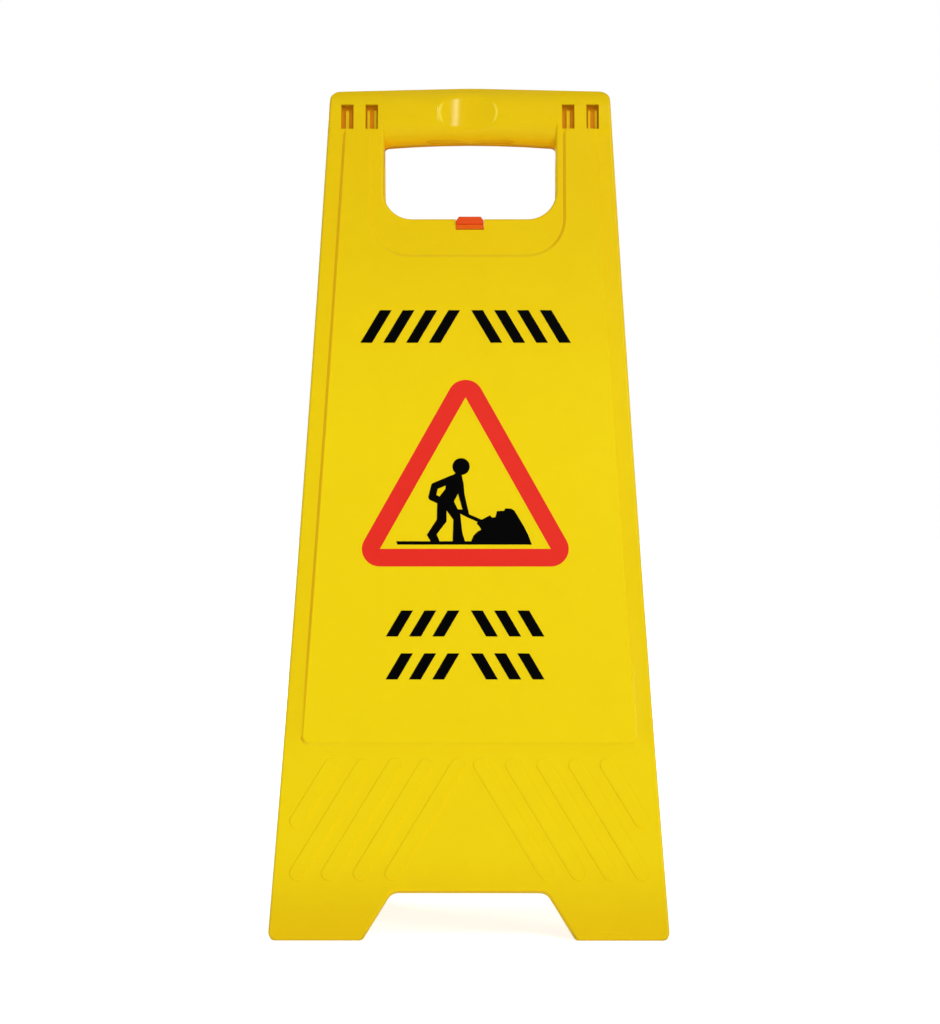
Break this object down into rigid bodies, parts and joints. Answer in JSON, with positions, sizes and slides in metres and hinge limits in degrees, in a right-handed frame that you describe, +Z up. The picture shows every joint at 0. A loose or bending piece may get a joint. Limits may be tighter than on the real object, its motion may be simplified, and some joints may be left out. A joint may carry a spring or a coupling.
{
  "type": "a-frame sign",
  "caption": "Folding A-frame floor sign of hinged plastic leaves with a carrying handle, raised printed panels, a striped base and a rocking lock clip in the hand opening.",
  "frame": {"origin": "on the floor, midway between the four feet of the open sign", "axes": "+Z up, +X to the right seen from the front, -Y out of the front leaf's printed face"},
  "size_m": [0.299, 0.306, 0.6511],
  "materials": {
    "yellow_plastic": "satin moulded polypropylene",
    "pin_plastic": "moulded plastic",
    "orange_plastic": "satin moulded plastic",
    "red_film": "smooth printed film",
    "black_film": "smooth printed film"
  },
  "bodies": {
    "front": {"front_leaf": "yellow_plastic", "hinge_pin_left_inner": "pin_plastic", "hinge_pin_right_outer": "pin_plastic", "front_triangle_border": "red_film", "front_worker_figure": "black_film", "front_upper_bars": "black_film", "front_middle_bars": "black_film", "front_lower_bars": "black_film"},
    "back": {"back_leaf": "yellow_plastic", "hinge_pin_left_outer": "pin_plastic", "hinge_pin_right_inner": "pin_plastic", "back_triangle_border": "red_film", "back_worker_figure": "black_film", "back_upper_bars": "black_film", "back_middle_bars": "black_film", "back_lower_bars": "black_film"},
    "lock_clip": {"lock_clip": "orange_plastic"}
  },
  "joints": [
    {"name": "fold", "type": "hinge", "parent": "front", "child": "back", "pos_m": [0, 0, 0.63196], "axis": [-1, 0, 0], "range_deg": [0, 25]},
    {"name": "clip", "type": "hinge", "parent": "front", "child": "lock_clip", "pos_m": [0, -0.02349, 0.53986], "axis": [1, 0, 0], "range_deg": [-15, 0]}
  ]
}
